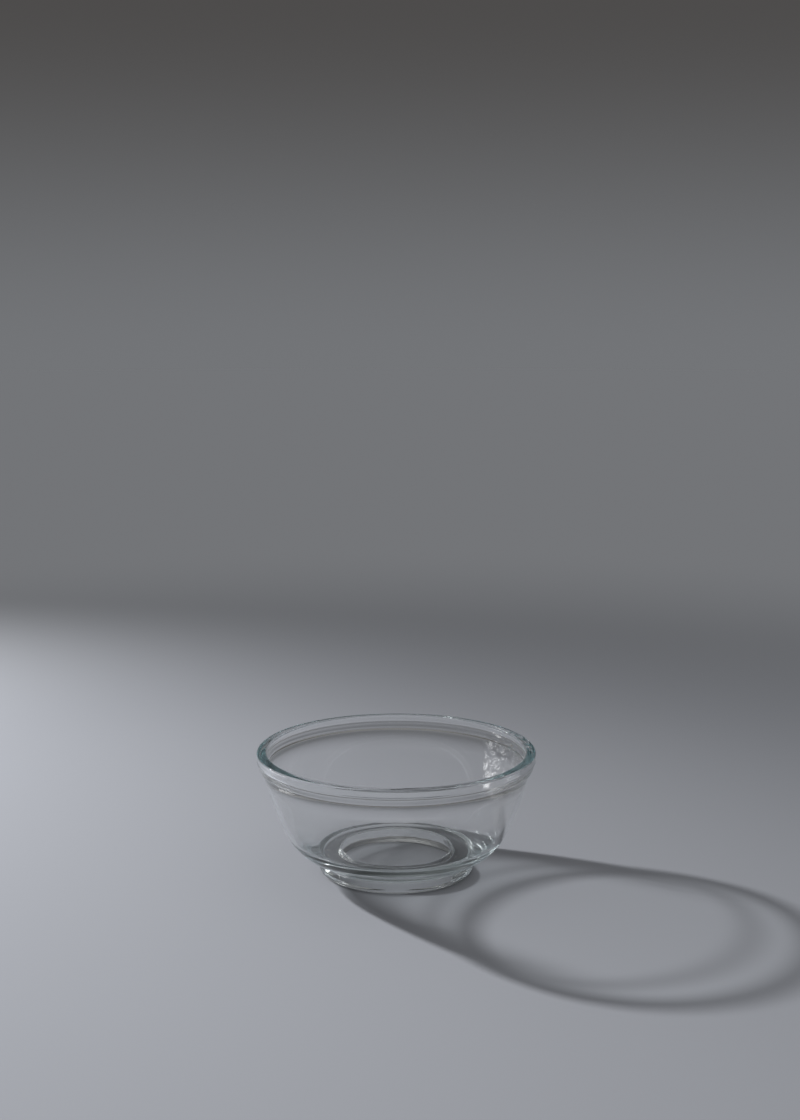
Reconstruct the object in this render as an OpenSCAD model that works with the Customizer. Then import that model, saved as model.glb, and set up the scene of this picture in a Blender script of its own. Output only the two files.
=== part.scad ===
// Prep bowl of clear pressed glass: one solid turned about Z, standing on its foot at z = 0.
// Wall and inside are each two arcs that run into one another, placed so that they touch what they meet.

/* [Bowl] */
// Outside diameter over the collar
bowl_d = 105; // [88:0.5:130]
// Height from the table to the rim
bowl_h = 47; // [40:0.1:60]

/* [Collar] */
// Height of the collar's upright face, from the rim down
collar_face_h = 1.8; // [1.4:0.1:4]
// Rounding of the rim's two edges
rim_edge_r = 0.8; // [0.3:0.1:1.2]
// Radius of the collar's lower edge, which rolls in toward the wall
collar_edge_r = 8; // [4:0.1:10]
// Radius of the hollow that runs from the collar into the wall
cove_r = 26; // [12:0.5:34]

/* [Wall] */
// How far the wall stands in from the collar, at the neck
neck_in = 2.9; // [2.4:0.1:4]
// Depth of the neck under the rim
neck_drop = 8; // [6:0.1:10]
// Lean of the wall from upright at the neck, in degrees
wall_lean = 9; // [5:0.5:13]
// Radius of the upper wall in section
wall_r = 76; // [64:0.5:100]
// Radius of the belly in section, below the upper wall
belly_r = 23.7; // [20:0.1:30]
// Height over the table at which the belly would turn level
belly_z = 3.6; // [2.8:0.1:4.8]
// Thickness of the upper wall
wall_t = 1.8; // [1.4:0.1:3]

/* [Floor] */
// Height of the inside floor over the table
floor_z = 10; // [9.4:0.1:12]
// Radius that runs from the inside wall into the floor
floor_r = 12; // [8:0.1:18]

/* [Foot] */
// Outside diameter of the foot
foot_d = 58.5; // [50:0.5:64]
// Rounding of the foot's outer lower edge
foot_edge_r = 2.2; // [0.6:0.1:2.6]
// Radius of the hollow between foot and belly
foot_cove_r = 1; // [0.4:0.1:1.6]
// Diameter of the recess under the foot
recess_d = 43; // [34:0.5:47]
// Depth of the recess
recess_h = 6.4; // [3:0.1:7]
// Rounding of the recess, at its mouth and at its top
recess_edge_r = 0.9; // [0.3:0.1:0.9]

/* [Hidden] */
$fn = 180;
glass_tint = [0.76, 0.89, 0.89, 0.5];
rim_r = bowl_d / 2;
foot_r = foot_d / 2;
recess_r = recess_d / 2;
bore_r = wall_r - wall_t;
// How far a shape reaches past the one that it cuts or joins
past = 1;
// How far arcs that touch are pressed into one another, so that their solids join
hair = 0.01;

// Point at a distance from a on the way to b
function toward(a, b, distance) = a + distance * (b - a) / norm(b - a);

// The lower point that lies ra from a and rb from b, with b to the right of a
function below_both(a, ra, b, rb) =
    let (gap = norm(b - a), u = (b - a) / gap, along = (ra ^ 2 - rb ^ 2 + gap ^ 2) / (2 * gap))
    a + along * u + sqrt(ra ^ 2 - along ^ 2) * [u.y, -u.x];

// Centre of an arc that passes a point with a lean from upright and curves in below it
function arc_centre(point, lean, r) = point + r * [-cos(lean), sin(lean)];

// Centre of a circle that rests on a level and touches the big circle from inside
function resting_centre(big_c, big_r, r, level) =
    [big_c.x + sqrt((big_r + hair - r) ^ 2 - (big_c.y - level - r) ^ 2), level + r];

// The upper wall and the upper inside share a centre, which keeps the wall even
wall_c = arc_centre([rim_r - neck_in, bowl_h - neck_drop], wall_lean, wall_r);
belly_c = resting_centre(wall_c, wall_r, belly_r, belly_z);
floor_c = resting_centre(wall_c, bore_r, floor_r, floor_z);

// Round of the rim's inner edge: it touches the level rim and the inside
lip_z = bowl_h - rim_edge_r;
lip_c = [wall_c.x + sqrt((bore_r + rim_edge_r - hair) ^ 2 - (lip_z - wall_c.y) ^ 2), lip_z];

// Hollow under the collar: it touches the round of the collar's lower edge and the wall
collar_low_c = [rim_r - collar_edge_r, bowl_h - collar_face_h];
cove_c = below_both(wall_c, wall_r + cove_r - hair, collar_low_c, collar_edge_r + cove_r - hair);

// Hollow over the foot: it touches the foot's side and the belly, or the level under the belly
foot_cove_x = foot_r + foot_cove_r;
foot_cove_reach = belly_r + foot_cove_r - hair;
belly_near = [min(belly_c.x, foot_cove_x), belly_c.y];
foot_cove_c = [foot_cove_x, belly_c.y - sqrt(foot_cove_reach ^ 2 - (foot_cove_x - belly_near.x) ^ 2)];

module turned() {
    rotate_extrude()
        children();
}

module disc(c, r) {
    translate(c)
        circle(r);
}

// What a round of radius r takes off a square corner; inward points from the corner into the body
module corner_waste(corner, r, inward) {
    difference() {
        translate(corner + r / 2 * inward)
            square(r, center = true);
        disc(corner + r * inward, r);
    }
}

// Solid within two arcs that run into one another and end level, up to a height
module cup(upper_r, lower_c, lower_r, top) {
    join = toward(wall_c, lower_c, upper_r);
    level = lower_c.y - lower_r;
    turned()
        intersection() {
            disc(wall_c, upper_r);
            translate([0, join.y])
                square([upper_r, top - join.y]);
        }
    turned() {
        intersection() {
            disc(lower_c, lower_r);
            translate([0, level])
                square([lower_c.x + lower_r, lower_r]);
        }
        translate([0, level])
            square([lower_c.x, lower_r]);
    }
}

module collar() {
    band = 2 * neck_in;
    in_wall = toward(cove_c, wall_c, cove_r + past);
    deep_x = min(collar_low_c.x, in_wall.x) - past;
    turned()
        difference() {
            translate([rim_r - band, collar_low_c.y])
                square([band, bowl_h - collar_low_c.y]);
            corner_waste([rim_r, bowl_h], rim_edge_r, [-1, -1]);
        }
    turned()
        intersection() {
            disc(collar_low_c, collar_edge_r);
            translate([deep_x, in_wall.y])
                square([rim_r - deep_x, lip_z - in_wall.y]);
        }
    turned()
        difference() {
            polygon([[deep_x, collar_low_c.y], collar_low_c, cove_c, in_wall, [deep_x, in_wall.y]]);
            disc(cove_c, cove_r);
        }
}

module foot() {
    in_belly = toward(foot_cove_c, belly_near, foot_cove_r + past);
    turned()
        difference() {
            polygon([[0, 0], [foot_r, 0], [foot_r, foot_cove_c.y], foot_cove_c, in_belly, [0, in_belly.y]]);
            corner_waste([foot_r, 0], foot_edge_r, [-1, 1]);
            disc(foot_cove_c, foot_cove_r);
        }
}

module recess() {
    turned()
        difference() {
            translate([0, -past])
                square([recess_r, past + recess_h]);
            corner_waste([recess_r, recess_h], recess_edge_r, [-1, -1]);
        }
    turned()
        corner_waste([recess_r, 0], recess_edge_r, [1, 1]);
}

module inside() {
    in_bore = toward(lip_c, wall_c, rim_edge_r + past);
    top = bowl_h + past;
    cup(bore_r, floor_c, floor_r, top);
    turned()
        difference() {
            polygon([[in_bore.x, top], in_bore, lip_c, [lip_c.x, top]]);
            disc(lip_c, rim_edge_r);
        }
}

module bowl() {
    color(glass_tint)
        difference() {
            union() {
                cup(wall_r, belly_c, belly_r, bowl_h);
                collar();
                foot();
            }
            inside();
            recess();
        }
}

bowl();
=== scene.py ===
"""A prep bowl of clear pressed glass, standing on a pale studio floor."""

import math

import bpy
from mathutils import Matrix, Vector, noise


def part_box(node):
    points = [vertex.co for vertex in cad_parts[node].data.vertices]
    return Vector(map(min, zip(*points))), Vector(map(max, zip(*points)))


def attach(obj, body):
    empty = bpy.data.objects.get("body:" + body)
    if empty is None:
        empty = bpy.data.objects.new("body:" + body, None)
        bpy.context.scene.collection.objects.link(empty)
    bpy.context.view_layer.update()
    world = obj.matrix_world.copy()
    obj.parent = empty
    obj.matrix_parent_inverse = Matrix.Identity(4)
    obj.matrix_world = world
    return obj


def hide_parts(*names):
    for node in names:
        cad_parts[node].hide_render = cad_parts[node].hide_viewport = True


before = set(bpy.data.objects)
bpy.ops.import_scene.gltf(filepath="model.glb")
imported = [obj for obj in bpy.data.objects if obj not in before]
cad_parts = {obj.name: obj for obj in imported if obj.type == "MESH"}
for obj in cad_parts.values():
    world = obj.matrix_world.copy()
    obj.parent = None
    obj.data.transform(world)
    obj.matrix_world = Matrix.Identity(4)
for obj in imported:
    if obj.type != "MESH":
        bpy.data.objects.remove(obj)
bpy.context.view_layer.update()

bowl_low, bowl_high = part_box("bowl")
scene = bpy.context.scene

# Bowl sizes in metres, as in the part's source; the outside size comes from the frame
RIM_R = bowl_high.x
BOWL_H = bowl_high.z
RIM_EDGE_R = 0.0008
COLLAR_FACE_H = 0.0018
COLLAR_EDGE_R = 0.008
COVE_R = 0.026
NECK_IN = 0.0029
NECK_DROP = 0.008
WALL_LEAN = math.radians(9)
WALL_R = 0.076
WALL_T = 0.0018
BELLY_R = 0.0237
BELLY_Z = 0.0036
FLOOR_Z = 0.01
FLOOR_R = 0.012
FOOT_R = 0.02925
FOOT_EDGE_R = 0.0022
FOOT_COVE_R = 0.001
RECESS_R = 0.0215
RECESS_H = 0.0064
RECESS_EDGE_R = 0.0009

# Fineness of the turned mesh
SEGMENTS = 288
FLAT_STEP = 0.0025
ARC_STEP = 0.0014
ARC_TURN = math.radians(4)

# Seams that the mould leaves round the outside of the collar: how high they stand, each one's drop
# under the rim and half width, and how fine the section is there
SEAM_HEIGHT = 0.00014
SEAMS = ((0.0058, 0.0007), (0.0030, 0.0006))
SEAM_STEP = 0.00018

# Waves that the mould and the cooling leave in pressed glass
WAVE_HEIGHT = 0.000008
WAVE_LENGTH = 0.011
# How far apart heights are compared to find their slope
SLOPE_PROBE = 0.03 * WAVE_LENGTH

# Patch of wrinkles inside, where the glass met a cool tool: its heading and height over the foot, how far
# it goes either way at full strength and in all, and the wrinkles' own height, length and fineness
WRINKLE_HEADING = math.radians(29)
WRINKLE_Z = 0.0355
WRINKLE_TURN = (math.radians(7), math.radians(18))
WRINKLE_RISE = (0.006, 0.0105)
WRINKLE_HEIGHT = 0.0004
WRINKLE_LENGTH = 0.0031
WRINKLE_STEP = 0.0007


def toward(start, goal, distance):
    """Point at a distance from start on the way to goal."""
    return start + distance * (goal - start).normalized()


def below_both(a, a_distance, b, b_distance):
    """The lower point at its distance from each of two points, with b to the right of a."""
    gap = (b - a).length
    way = (b - a) / gap
    along = (a_distance**2 - b_distance**2 + gap**2) / (2 * gap)
    across = math.sqrt(a_distance**2 - along**2)
    return a + along * way + across * Vector((way.y, -way.x))


def resting_centre(big_c, big_r, radius, level):
    """Centre of a circle that rests on a level and touches the big circle from inside."""
    rise = big_c.y - level - radius
    return Vector((big_c.x + math.sqrt((big_r - radius) ** 2 - rise**2), level + radius))


def line(start, end):
    """Section points on a straight stretch, each with the normal on its right."""
    count = max(1, math.ceil((end - start).length / FLAT_STEP))
    way = (end - start).normalized()
    normal = Vector((way.y, -way.x))
    return [(start.lerp(end, i / count), normal) for i in range(count + 1)]


def arc(centre, radius, start, end, bulge, spacing=ARC_STEP):
    """Section points on an arc; bulge is 1 where the glass is inside the arc, else -1."""
    first = math.atan2(start.y - centre.y, start.x - centre.x)
    turn = math.atan2(end.y - centre.y, end.x - centre.x) - first
    turn = math.remainder(turn, math.tau)
    step = min(ARC_TURN, spacing / radius)
    count = max(2, math.ceil(abs(turn) / step))
    points = []
    for i in range(count + 1):
        angle = first + turn * i / count
        out = Vector((math.cos(angle), math.sin(angle)))
        points.append((centre + radius * out, bulge * out))
    return points


def seamed(stretch):
    """A stretch of the section, which climbs, with the mould's seams raised on it."""
    raised = []
    for place, normal in stretch:
        height = 0
        slope = 0
        for drop, half in SEAMS:
            off = (place.y - BOWL_H + drop) / half
            if abs(off) < 1:
                height += SEAM_HEIGHT * (1 - off**2) ** 2
                slope -= SEAM_HEIGHT * 4 * off * (1 - off**2) / half
        up_stretch = Vector((-normal.y, normal.x))
        tilted = (normal - slope * normal.x * up_stretch).normalized()
        raised.append((place + height * normal, tilted))
    return raised


def bowl_section():
    """Section from the middle of the underside, round the outside, to the middle of the floor."""
    bore_r = WALL_R - WALL_T
    neck = Vector((RIM_R - NECK_IN, BOWL_H - NECK_DROP))
    wall_c = neck + WALL_R * Vector((-math.cos(WALL_LEAN), math.sin(WALL_LEAN)))
    belly_c = resting_centre(wall_c, WALL_R, BELLY_R, BELLY_Z)
    floor_c = resting_centre(wall_c, bore_r, FLOOR_R, FLOOR_Z)

    lip_z = BOWL_H - RIM_EDGE_R
    lip_reach = math.sqrt((bore_r + RIM_EDGE_R) ** 2 - (lip_z - wall_c.y) ** 2)
    lip_c = Vector((wall_c.x + lip_reach, lip_z))
    rim_c = Vector((RIM_R - RIM_EDGE_R, lip_z))
    collar_c = Vector((RIM_R - COLLAR_EDGE_R, BOWL_H - COLLAR_FACE_H))
    cove_c = below_both(wall_c, WALL_R + COVE_R, collar_c, COLLAR_EDGE_R + COVE_R)

    foot_cove_x = FOOT_R + FOOT_COVE_R
    drop = math.sqrt((BELLY_R + FOOT_COVE_R) ** 2 - (foot_cove_x - belly_c.x) ** 2)
    foot_cove_c = Vector((foot_cove_x, belly_c.y - drop))
    foot_c = Vector((FOOT_R - FOOT_EDGE_R, FOOT_EDGE_R))
    recess_top_c = Vector((RECESS_R - RECESS_EDGE_R, RECESS_H - RECESS_EDGE_R))
    recess_low_c = Vector((RECESS_R + RECESS_EDGE_R, RECESS_EDGE_R))

    right = Vector((1, 0))
    up = Vector((0, 1))
    foot_top = foot_cove_c - FOOT_COVE_R * right
    foot_join = toward(foot_cove_c, belly_c, FOOT_COVE_R)
    wall_join = toward(wall_c, belly_c, WALL_R)
    cove_join = toward(cove_c, wall_c, COVE_R)
    collar_join = toward(cove_c, collar_c, COVE_R)
    lip_join = toward(lip_c, wall_c, RIM_EDGE_R)
    bore_join = toward(wall_c, floor_c, bore_r)
    floor_join = floor_c - FLOOR_R * up

    stretches = [
        line(RECESS_H * up, recess_top_c + RECESS_EDGE_R * up),
        arc(recess_top_c, RECESS_EDGE_R, recess_top_c + RECESS_EDGE_R * up,
            recess_top_c + RECESS_EDGE_R * right, -1),
        line(recess_top_c + RECESS_EDGE_R * right, recess_low_c - RECESS_EDGE_R * right),
        arc(recess_low_c, RECESS_EDGE_R, recess_low_c - RECESS_EDGE_R * right,
            recess_low_c - RECESS_EDGE_R * up, 1),
        line(recess_low_c - RECESS_EDGE_R * up, foot_c - FOOT_EDGE_R * up),
        arc(foot_c, FOOT_EDGE_R, foot_c - FOOT_EDGE_R * up, foot_c + FOOT_EDGE_R * right, 1),
        line(foot_c + FOOT_EDGE_R * right, foot_top),
        arc(foot_cove_c, FOOT_COVE_R, foot_top, foot_join, -1),
        arc(belly_c, BELLY_R, foot_join, wall_join, 1),
        arc(wall_c, WALL_R, wall_join, cove_join, 1),
        seamed(arc(cove_c, COVE_R, cove_join, collar_join, -1, SEAM_STEP)),
        seamed(arc(collar_c, COLLAR_EDGE_R, collar_join,
                   collar_c + COLLAR_EDGE_R * right, 1, SEAM_STEP)),
        line(collar_c + COLLAR_EDGE_R * right, rim_c + RIM_EDGE_R * right),
        arc(rim_c, RIM_EDGE_R, rim_c + RIM_EDGE_R * right, rim_c + RIM_EDGE_R * up, 1),
        line(rim_c + RIM_EDGE_R * up, lip_c + RIM_EDGE_R * up),
        arc(lip_c, RIM_EDGE_R, lip_c + RIM_EDGE_R * up, lip_join, 1),
        arc(wall_c, bore_r, lip_join, bore_join, -1, WRINKLE_STEP),
        arc(floor_c, FLOOR_R, bore_join, floor_join, -1),
        line(floor_join, FLOOR_Z * up),
    ]
    # Each stretch starts where the one before it ends, so that shared point is taken once
    return stretches[0] + [point for stretch in stretches[1:] for point in stretch[1:]]


def eased(value, full, none):
    """1 up to a value, then smoothly down to 0."""
    share = min(max((none - value) / (none - full), 0), 1)
    return share * share * (3 - 2 * share)


def wave(point, inside):
    """Height of the slow waves in the glass at a point, and inside the bowl of the wrinkles."""
    height = WAVE_HEIGHT * noise.noise(point / WAVE_LENGTH)
    if inside:
        patch = eased(abs(math.atan2(point.y, point.x) - WRINKLE_HEADING), *WRINKLE_TURN)
        patch *= eased(abs(point.z - WRINKLE_Z), *WRINKLE_RISE)
        height += patch * WRINKLE_HEIGHT * noise.noise(point / WRINKLE_LENGTH)
    return height


def waved(point, normal):
    """A point of the surface and its normal, with the waves and wrinkles added."""
    inside = normal.x * point.x + normal.y * point.y < 0
    height = wave(point, inside)
    slope = Vector([
        (wave(point + SLOPE_PROBE * axis, inside) - height) / SLOPE_PROBE
        for axis in (Vector((1, 0, 0)), Vector((0, 1, 0)), Vector((0, 0, 1)))
    ])
    slope -= slope.dot(normal) * normal
    return point + height * normal, (normal - slope).normalized()


def turned_mesh(name, section):
    """Closed mesh of a section turned about Z, with the section's own normals."""
    points = []
    normals = []
    rings = []
    for place, normal in section:
        on_axis = place.x < 1e-6
        count = 1 if on_axis else SEGMENTS
        rings.append(range(len(points), len(points) + count))
        for i in range(count):
            angle = math.tau * i / SEGMENTS
            side = Vector((math.cos(angle), math.sin(angle), 0))
            point = place.x * side + Vector((0, 0, place.y))
            upright = Vector((0, 0, normal.y))
            facing = upright if on_axis else normal.x * side + upright
            moved, bent = waved(point, facing.normalized())
            points.append(moved)
            normals.append(bent)
    faces = []
    for low, high in zip(rings, rings[1:]):
        for i in range(SEGMENTS):
            j = (i + 1) % SEGMENTS
            if len(low) == 1:
                faces.append((low[0], high[j], high[i]))
            elif len(high) == 1:
                faces.append((low[i], low[j], high[0]))
            else:
                faces.append((low[i], low[j], high[j], high[i]))
    mesh = bpy.data.meshes.new(name)
    mesh.from_pydata(points, [], faces)
    mesh.shade_smooth()
    mesh.normals_split_custom_set_from_vertices(normals)
    return mesh


def put(name, data):
    """A new object in the scene."""
    piece = bpy.data.objects.new(name, data)
    scene.collection.objects.link(piece)
    return piece


# Sockets of a Mix node that take or give a colour
MIX_START = 6
MIX_END = 7
MIX_RESULT = 2


class Nodes:
    """Short hand for building one node tree."""

    def __init__(self, tree):
        self.tree = tree

    def add(self, kind, settings=None, **inputs):
        """A node with its settings and inputs; an input is a value or another node's output socket."""
        node = self.tree.nodes.new(kind)
        for key, value in (settings or {}).items():
            setattr(node, key, value)
        for key, value in inputs.items():
            self.feed(node, key.replace("_", " "), value)
        return node

    def feed(self, node, socket, value):
        """Links an output to an input, or sets the input's own value."""
        target = node.inputs[int(socket)] if socket.isdigit() else node.inputs[socket]
        if isinstance(value, bpy.types.NodeSocket):
            self.tree.links.new(value, target)
        else:
            target.default_value = value

    def math(self, operation, *values):
        """Output of a Math node."""
        node = self.add("ShaderNodeMath", {"operation": operation})
        for i, value in enumerate(values):
            self.feed(node, str(i), value)
        return node.outputs[0]

    def ramp(self, value, low, high, to_low, to_high):
        """Value eased from one range to another."""
        node = self.add(
            "ShaderNodeMapRange",
            {"interpolation_type": "SMOOTHSTEP"},
            Value=value,
            From_Min=low,
            From_Max=high,
            To_Min=to_low,
            To_Max=to_high,
        )
        return node.outputs["Result"]

    def steps(self, value, stops):
        """Grey that goes through a list of stops, each a place from 0 to 1 and a level."""
        node = self.add("ShaderNodeValToRGB", Fac=value)
        elements = node.color_ramp.elements
        for place, _ in stops[1:-1]:
            elements.new(place)
        for element, (place, level) in zip(elements, stops):
            element.position = place
            element.color = (level, level, level, 1)
        return node.outputs["Color"]

    def blend(self, share, start, end):
        """Colour between two colours."""
        node = self.add("ShaderNodeMix", {"data_type": "RGBA"}, Factor=share)
        self.feed(node, str(MIX_START), start)
        self.feed(node, str(MIX_END), end)
        return node.outputs[MIX_RESULT]

    def choose(self, share, first, second):
        """Shader between two shaders."""
        node = self.add("ShaderNodeMixShader")
        for i, value in enumerate((share, first, second)):
            self.feed(node, str(i), value)
        return node.outputs[0]


def new_material(name):
    """An empty node material with its output node."""
    material = bpy.data.materials.new(name)
    material.use_nodes = True
    material.node_tree.nodes.clear()
    nodes = Nodes(material.node_tree)
    return material, nodes, nodes.add("ShaderNodeOutputMaterial")


# The lamp stands close by at the back left; its light goes along LAMP_WAY
KEY_PLACE = Vector((-0.4845, 0.368, 0.3109))
LAMP_WAY = -KEY_PLACE.xy.normalized()

# Glass: how strong its fine skin is, how rubbed its foot, and what thick glass does to light
SKIN_SCALE = 620
SKIN_DETAIL = 1.5
SKIN_ROUGHNESS = 0.4
SKIN_DEPTH = 0.0000025
RUB_TOP = 0.0006
RUB_ROUGHNESS = 0.32
# Scratches run round the foot: how often they come across it and along it, and which of them show
SCRATCH_ACROSS = 4200
SCRATCH_ALONG = 5
SCRATCH_DETAIL = 3.0
SCRATCH_SHOWN = (0.45, 0.75, 0.15, 1.0)
GLASS_IOR = 1.52
GLASS_TINT = (0.68, 0.90, 0.92, 1)
GLASS_DENSITY = 7
# Painted shadow: share of the lamp's light that one surface lets through, set so that the bowl's shadow
# on the paper gets painted rings, dark lines and shade under the foot in place of bent light: from face
# on to grazing, what a grazing surface lets through at each height, and what all surfaces do
LIT_BLEND = 0.5
LIT_GRAZING = (0.20, 0.85)
SHADOW_PAINT_EDGE = ((0.010, 1.0), (0.016, 0.08), (0.030, 0.10), (0.038, 0.50), (0.047, 0.55))
SHADOW_PAINT_BY_HEIGHT = (
    (0.0, 0.40), (0.0005, 0.45), (0.0016, 0.85), (0.008, 0.95), (0.0355, 0.98), (0.0385, 0.72),
    (0.0412, 1.0), (0.0440, 1.0), (0.0456, 0.25),
)
# Painted shade on the paper under the recess, on the side away from the lamp: where along the lamp's way,
# by how much, and how far past the recess's side and top that fades
SHADOW_PAINT_AWAY = (-0.012, 0.018)
SHADOW_PAINT_AWAY_SHARE = 0.55
RECESS_SIDE_FADE = 0.0004
RECESS_TOP_FADE = 0.001


def clear_glass():
    """Clear pressed glass with a fine orange-peel skin and a foot that is rubbed by the table; its colour
    for light on the way to matt surfaces paints the bowl's shadow.
    """
    material, nodes, output = new_material("clear_glass")
    place = nodes.add("ShaderNodeTexCoord").outputs["Object"]
    skin = nodes.add(
        "ShaderNodeTexNoise",
        Vector=place,
        Scale=SKIN_SCALE,
        Detail=SKIN_DETAIL,
        Roughness=SKIN_ROUGHNESS,
    )
    bump = nodes.add("ShaderNodeBump", Height=skin.outputs[0], Distance=SKIN_DEPTH, Strength=1.0)

    axes = nodes.add("ShaderNodeSeparateXYZ", Vector=place)
    x, y, z = axes.outputs
    x_squared = nodes.math("MULTIPLY", x, x)
    y_squared = nodes.math("MULTIPLY", y, y)
    reach = nodes.math("SQRT", nodes.math("ADD", x_squared, y_squared))
    heading = nodes.math("ARCTAN2", y, x)

    around = nodes.add(
        "ShaderNodeCombineXYZ",
        X=nodes.math("MULTIPLY", reach, SCRATCH_ACROSS),
        Y=nodes.math("MULTIPLY", heading, SCRATCH_ALONG),
    )
    scratches = nodes.add(
        "ShaderNodeTexNoise", Vector=around.outputs[0], Scale=1.0, Detail=SCRATCH_DETAIL)
    scratched = nodes.ramp(scratches.outputs[0], *SCRATCH_SHOWN)
    rubbed = nodes.ramp(z, 0.0, RUB_TOP, 1.0, 0.0)
    roughness = nodes.math("MULTIPLY", nodes.math("MULTIPLY", scratched, rubbed), RUB_ROUGHNESS)

    surface = nodes.add(
        "ShaderNodeBsdfPrincipled",
        Base_Color=(1, 1, 1, 1),
        Roughness=roughness,
        IOR=GLASS_IOR,
        Transmission_Weight=1.0,
        Normal=bump.outputs[0],
    )
    body = nodes.add("ShaderNodeVolumeAbsorption", Color=GLASS_TINT, Density=GLASS_DENSITY)
    # Straight through for light on its way to matt surfaces; its colour is painted shadow, darker where
    # the glass would bend light away
    facing = nodes.add("ShaderNodeLayerWeight", Blend=LIT_BLEND).outputs["Facing"]
    rise = nodes.math("DIVIDE", z, BOWL_H)
    by_height = nodes.steps(rise, [(at / BOWL_H, share) for at, share in SHADOW_PAINT_BY_HEIGHT])
    edge = nodes.steps(rise, [(at / BOWL_H, share) for at, share in SHADOW_PAINT_EDGE])
    # Painted shadow: rings and dark lines by height and by grazing, and shade under the foot
    clear = nodes.math("MULTIPLY", nodes.ramp(facing, *LIT_GRAZING, 1.0, edge), by_height)
    # Painted shade under the recess, on the side away from the lamp
    away = nodes.math("ADD", nodes.math("MULTIPLY", x, LAMP_WAY.x), nodes.math("MULTIPLY", y, LAMP_WAY.y))
    painted_away_shade = nodes.ramp(away, *SHADOW_PAINT_AWAY, 1.0, SHADOW_PAINT_AWAY_SHARE)
    painted_away_shade = nodes.ramp(reach, RECESS_R, RECESS_R + RECESS_SIDE_FADE, painted_away_shade, 1.0)
    painted_away_shade = nodes.ramp(z, RECESS_H, RECESS_H + RECESS_TOP_FADE, painted_away_shade, 1.0)
    clear = nodes.math("MULTIPLY", clear, painted_away_shade)
    straight = nodes.add("ShaderNodeBsdfTransparent", Color=clear)
    path = nodes.add("ShaderNodeLightPath")
    shader = surface.outputs[0]
    for ray in ("Is Diffuse Ray", "Is Shadow Ray"):
        shader = nodes.choose(path.outputs[ray], shader, straight.outputs[0])
    nodes.feed(output, "Surface", shader)
    nodes.feed(output, "Volume", body.outputs[0])
    return material


# Studio: a round sheet of pale paper, with its colours near the bowl and far from it; the far colour is
# painted light, paler where the lamp doesn't reach
PAPER_NEAR = (0.415, 0.43, 0.47, 1)
PAPER_FAR_PAINTED_LIGHT = (0.66, 0.68, 0.72, 1)
PAPER_ROUGHNESS = 0.9
PAPER_R = 3.2
PAPER_SEGMENTS = 96
FAR_START = 0.25
FAR_END = 0.75
# The paper lies a hair under the foot, so that glass and paper never share a face
PAPER_DROP = 0.00004


def floor_paper():
    """Matt paper, painted paler in the distance as painted light where the lamp doesn't reach it."""
    material, nodes, output = new_material("floor_paper")
    place = nodes.add("ShaderNodeTexCoord").outputs["Object"]
    away = nodes.add("ShaderNodeVectorMath", {"operation": "LENGTH"}, **{"0": place}).outputs["Value"]
    # Painted light: the paper turns paler away from the bowl, where the lamp's light is missing
    painted_light_share = nodes.ramp(away, FAR_START, FAR_END, 0.0, 1.0)
    surface = nodes.add(
        "ShaderNodeBsdfPrincipled",
        Base_Color=nodes.blend(painted_light_share, PAPER_NEAR, PAPER_FAR_PAINTED_LIGHT),
        Roughness=PAPER_ROUGHNESS,
        Specular_IOR_Level=0.0,
    )
    nodes.feed(output, "Surface", surface.outputs[0])
    return material


def paper_floor():
    """The round sheet of paper under the bowl."""
    points = [(0, 0, -PAPER_DROP)]
    for i in range(PAPER_SEGMENTS):
        angle = math.tau * i / PAPER_SEGMENTS
        points.append((PAPER_R * math.cos(angle), PAPER_R * math.sin(angle), -PAPER_DROP))
    faces = [(0, 1 + i, 1 + (i + 1) % PAPER_SEGMENTS) for i in range(PAPER_SEGMENTS)]
    mesh = bpy.data.meshes.new("paper_floor")
    mesh.from_pydata(points, [], faces)
    mesh.materials.append(floor_paper())
    return put("paper_floor", mesh)


# The lamp, whose place is given with the glass
KEY_AIM = Vector((-0.499, 0.033, 0))
KEY_SPREAD = math.radians(160)
KEY_SIZE = 0.016
KEY_POWER = 68
# A card that only shows in the glass
CARD_PLACE = Vector((-1.0, 0.26, 0.12))
CARD_SIZE = (0.40, 0.18)
CARD_POWER = 1.0
# Light from all round on matt surfaces
FILL_STRENGTH = 0.26
# Brightness of the room above the paper, by the sine of the elevation
ROOM_LEVELS = ((0.0, 0.18), (0.11, 0.17), (0.22, 0.035), (0.78, 0.03), (0.95, 0.32))
# The room is brighter on the lamp's side: by the share of the way that points right
ROOM_SIDE = (-0.6, 0.5, 1.8, 0.6)
# Backdrop that only the camera sees: as pale as the far paper where they meet, darker above
BACKDROP_RISE = (-0.06, 0.15)
BACKDROP_LOW = (0.171, 0.177, 0.187, 1)
BACKDROP_HIGH = (0.075, 0.072, 0.071, 1)


def key_lamp():
    """The lamp that throws the bowl's shadow, as strong far off as near."""
    lamp = bpy.data.lights.new("key_lamp", "SPOT")
    lamp.energy = KEY_POWER
    lamp.shadow_soft_size = KEY_SIZE
    lamp.spot_size = KEY_SPREAD
    lamp.spot_blend = 1.0
    lamp.use_nodes = True
    lamp.node_tree.nodes.clear()
    nodes = Nodes(lamp.node_tree)
    even = nodes.add("ShaderNodeLightFalloff", Strength=1.0).outputs["Constant"]
    glow = nodes.add("ShaderNodeEmission", Strength=even)
    nodes.add("ShaderNodeOutputLight", Surface=glow.outputs[0])
    holder = put("key_lamp", lamp)
    holder.location = KEY_PLACE
    holder.rotation_euler = (KEY_AIM - KEY_PLACE).to_track_quat("-Z", "Y").to_euler()


def window_card():
    """A pale card at the left that the glass mirrors; it doesn't light matt surfaces."""
    lamp = bpy.data.lights.new("window_card", "AREA")
    lamp.energy = CARD_POWER
    lamp.shape = "RECTANGLE"
    lamp.size, lamp.size_y = CARD_SIZE
    holder = put("window_card", lamp)
    holder.location = CARD_PLACE
    holder.rotation_euler = (-CARD_PLACE).to_track_quat("-Z", "Y").to_euler()
    holder.visible_camera = False
    holder.visible_diffuse = False


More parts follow.
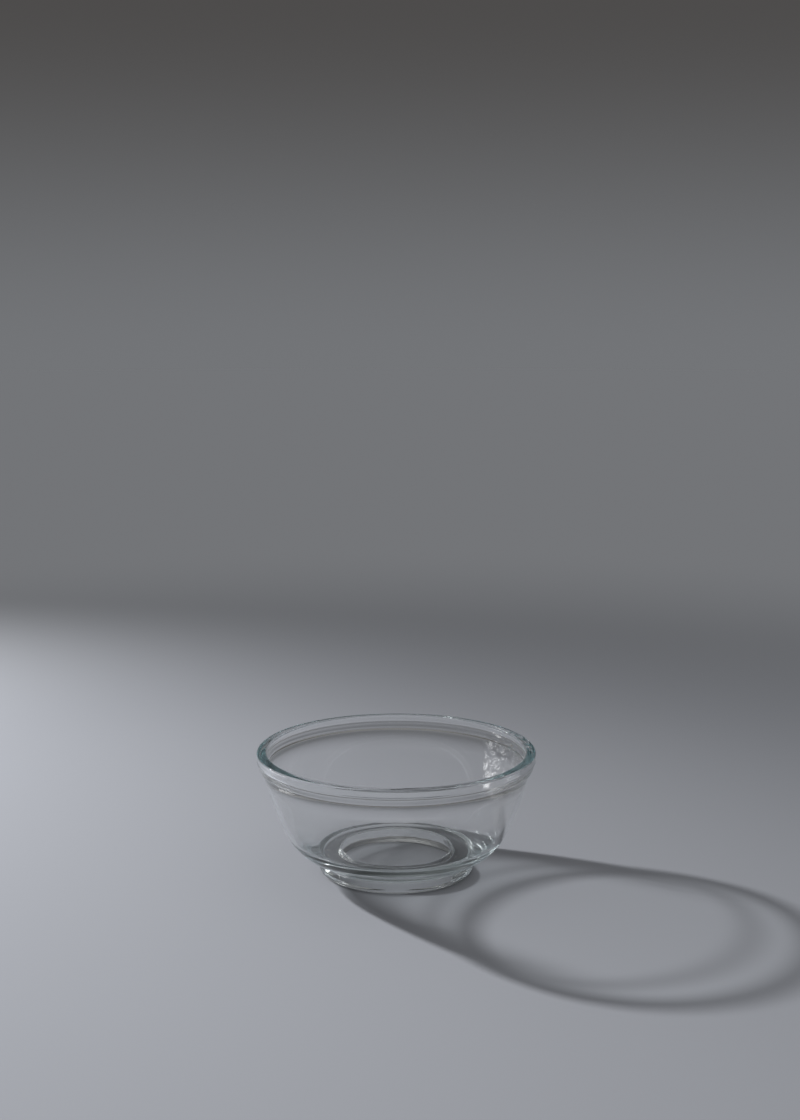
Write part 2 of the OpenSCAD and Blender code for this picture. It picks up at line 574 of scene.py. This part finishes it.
def room():
    """Even fill for matt surfaces; the glass sees a dim room, and the camera a backdrop."""
    world = bpy.data.worlds.new("room")
    world.use_nodes = True
    world.node_tree.nodes.clear()
    nodes = Nodes(world.node_tree)
    heading = nodes.add("ShaderNodeTexCoord").outputs["Generated"]
    way = nodes.add("ShaderNodeSeparateXYZ", Vector=heading)
    seen = nodes.add(
        "ShaderNodeBackground",
        Color=nodes.steps(way.outputs["Z"], ROOM_LEVELS),
        Strength=nodes.ramp(way.outputs["X"], *ROOM_SIDE),
    )
    above = nodes.ramp(way.outputs["Z"], *BACKDROP_RISE, 0.0, 1.0)
    backdrop = nodes.add("ShaderNodeBackground", Color=nodes.blend(above, BACKDROP_LOW, BACKDROP_HIGH))
    fill = nodes.add("ShaderNodeBackground", Color=(1, 1, 1, 1), Strength=FILL_STRENGTH)
    path = nodes.add("ShaderNodeLightPath")
    in_glass = nodes.math("MAXIMUM", path.outputs["Is Glossy Ray"], path.outputs["Is Transmission Ray"])
    shader = fill.outputs[0]
    for ray, view in ((in_glass, seen), (path.outputs["Is Camera Ray"], backdrop)):
        shader = nodes.choose(ray, shader, view.outputs[0])
    nodes.add("ShaderNodeOutputWorld", Surface=shader)
    scene.world = world


# Camera, from the photograph's viewing angle
CAMERA_PLACE = (0.001395, -0.62457, 0.22704)
CAMERA_PITCH = math.radians(9.7925)
CAMERA_LENS = 55.095
CAMERA_SENSOR = 36
CAMERA_NEAR = 0.01

# Light is led far round inside the rim before it comes out
LIGHT_BOUNCES = 256


def camera():
    """The camera at the photograph's angle."""
    data = bpy.data.cameras.new("camera")
    data.sensor_width = CAMERA_SENSOR
    data.lens = CAMERA_LENS
    data.clip_start = CAMERA_NEAR
    eye = put("camera", data)
    eye.location = CAMERA_PLACE
    eye.rotation_euler = (math.pi / 2 - CAMERA_PITCH, 0, 0)
    scene.camera = eye


mesh = turned_mesh("glass_bowl", bowl_section())
mesh.materials.append(clear_glass())
glass_bowl = put("glass_bowl", mesh)
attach(glass_bowl, "root")
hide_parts("bowl")

paper_floor()
key_lamp()
window_card()
room()
camera()

scene.view_settings.view_transform = "Standard"
scene.cycles.max_bounces = LIGHT_BOUNCES
scene.cycles.transmission_bounces = LIGHT_BOUNCES
scene.cycles.glossy_bounces = LIGHT_BOUNCES
scene.cycles.caustics_reflective = False
scene.cycles.caustics_refractive = False
